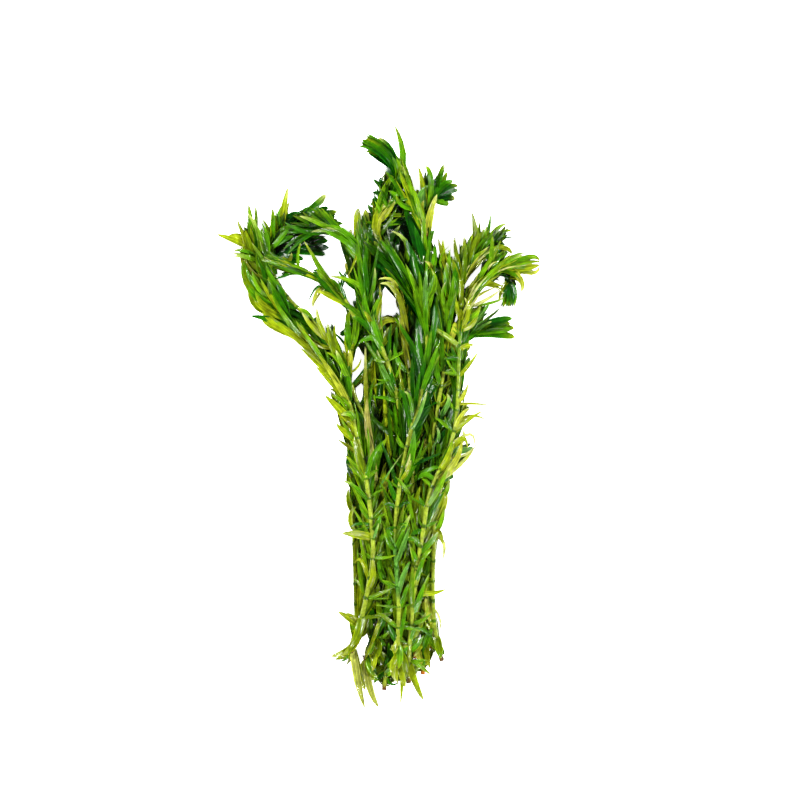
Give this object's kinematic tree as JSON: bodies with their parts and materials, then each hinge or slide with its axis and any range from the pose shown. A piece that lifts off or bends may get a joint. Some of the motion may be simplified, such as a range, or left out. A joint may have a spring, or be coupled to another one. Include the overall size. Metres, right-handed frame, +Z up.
{
  "type": "waterweed bunch",
  "caption": "Cut bunch of leafy freshwater waterweed stems lying flat, bare cut ends at one side and tufted, curling growing tips at the other.",
  "frame": {"origin": "centre of the bunch's bounding box in X and Y, on the surface that it lies on", "axes": "+Y along the bunch, from the cut ends to the growing tips; +X to the right seen from above; +Z up, away from the surface"},
  "size_m": [0.1304, 0.234, 0.0257],
  "materials": {
    "mid_green": "wet, glossy leaf",
    "pale_green": "wet, glossy, yellowish leaf",
    "dark_green": "wet, glossy, dark leaf",
    "olive": "wet, dull olive leaf"
  },
  "bodies": {
    "root": {"stem_left_inner": "mid_green", "stem_left_hook": "mid_green", "stem_tall": "mid_green", "stem_centre": "mid_green", "stem_right_cross": "mid_green", "stem_right_edge": "mid_green", "stem_left_arm": "mid_green", "side_shoot_top": "mid_green", "side_shoot_left": "mid_green", "side_shoot_upright": "mid_green", "stem_short_left": "pale_green", "stem_right_upper": "pale_green", "stem_back_top": "dark_green", "stem_dark_sweep": "dark_green", "stem_right_low": "dark_green", "side_shoot_inner": "dark_green", "side_shoot_right": "dark_green", "stem_back_left": "olive"}
  },
  "joints": []
}
